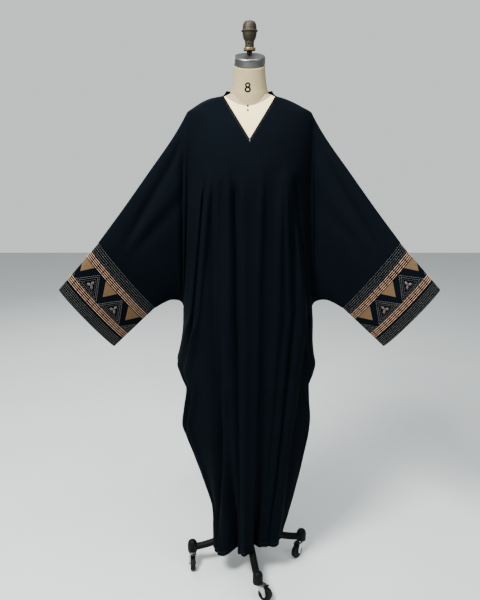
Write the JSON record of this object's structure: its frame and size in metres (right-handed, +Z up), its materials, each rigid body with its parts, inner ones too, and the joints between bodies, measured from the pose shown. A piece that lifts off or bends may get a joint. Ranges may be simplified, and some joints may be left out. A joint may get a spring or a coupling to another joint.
{
  "type": "abaya cloak on dress form",
  "caption": "Closed-front abaya cloak with a V neck, wide batwing sleeves with patterned cuffs and a draped tapering skirt, standing on a wheeled dress form.",
  "frame": {"origin": "middle of the footprint of the bounding box, on the floor, under the pole of the dress form", "axes": "+Z up along the pole, -Y towards the front of the garment, +X towards the viewer's right (the wearer's left sleeve)"},
  "size_m": [1.1, 0.455, 1.8056],
  "materials": {
    "black_crepe": "matt woven crepe",
    "embroidered_crepe": "matt crepe with gold and grey-green thread",
    "form_linen": "natural linen cover",
    "cap_steel": "satin",
    "finial_bronze": "dark aged bronze",
    "ring_brass": "satin brass",
    "black_enamel": "gloss black enamel",
    "bright_plate": "zinc and chrome plate",
    "caster_rubber": "black rubber tread"
  },
  "bodies": {
    "stand": {"front_panel_left": "black_crepe", "front_panel_right": "black_crepe", "back_panel": "black_crepe", "back_neckband": "black_crepe", "cuff_left": "embroidered_crepe", "cuff_right": "embroidered_crepe", "form_torso": "form_linen", "form_neck": "form_linen", "neck_cap": "cap_steel", "finial_stem": "black_enamel", "finial_ring": "ring_brass", "finial_knob": "finial_bronze", "stand_pole": "bright_plate", "base_frame": "black_enamel"},
    "fork_left": {"caster_fork_1": "bright_plate"},
    "fork_right": {"caster_fork_2": "bright_plate"},
    "fork_front": {"caster_fork_3": "bright_plate"},
    "fork_back": {"caster_fork_4": "bright_plate"},
    "wheel_left": {"caster_wheel_1": "caster_rubber"},
    "wheel_right": {"caster_wheel_2": "caster_rubber"},
    "wheel_front": {"caster_wheel_3": "caster_rubber"},
    "wheel_back": {"caster_wheel_4": "caster_rubber"}
  },
  "joints": [
    {"name": "swivel_left", "type": "hinge", "parent": "stand", "child": "fork_left", "pos_m": [-0.19655, -0.03113, 0.058], "axis": [0, 0, 1], "continuous": true},
    {"name": "swivel_right", "type": "hinge", "parent": "stand", "child": "fork_right", "pos_m": [0.19655, 0.03113, 0.058], "axis": [0, 0, 1], "continuous": true},
    {"name": "swivel_front", "type": "hinge", "parent": "stand", "child": "fork_front", "pos_m": [0.03113, -0.19655, 0.058], "axis": [0, 0, 1], "continuous": true},
    {"name": "swivel_back", "type": "hinge", "parent": "stand", "child": "fork_back", "pos_m": [-0.03113, 0.19655, 0.058], "axis": [0, 0, 1], "continuous": true},
    {"name": "roll_left", "type": "hinge", "parent": "fork_left", "child": "wheel_left", "pos_m": [-0.19362, -0.05898, 0.024], "axis": [0.9945, 0.1045, 0], "continuous": true},
    {"name": "roll_right", "type": "hinge", "parent": "fork_right", "child": "wheel_right", "pos_m": [0.17893, 0.00937, 0.024], "axis": [0.7771, -0.6293, 0], "continuous": true},
    {"name": "roll_front", "type": "hinge", "parent": "fork_front", "child": "wheel_front", "pos_m": [0.05585, -0.20969, 0.024], "axis": [0.4695, 0.8829, 0], "continuous": true},
    {"name": "roll_back", "type": "hinge", "parent": "fork_back", "child": "wheel_back", "pos_m": [-0.05585, 0.20969, 0.024], "axis": [-0.4695, -0.8829, 0], "continuous": true}
  ]
}
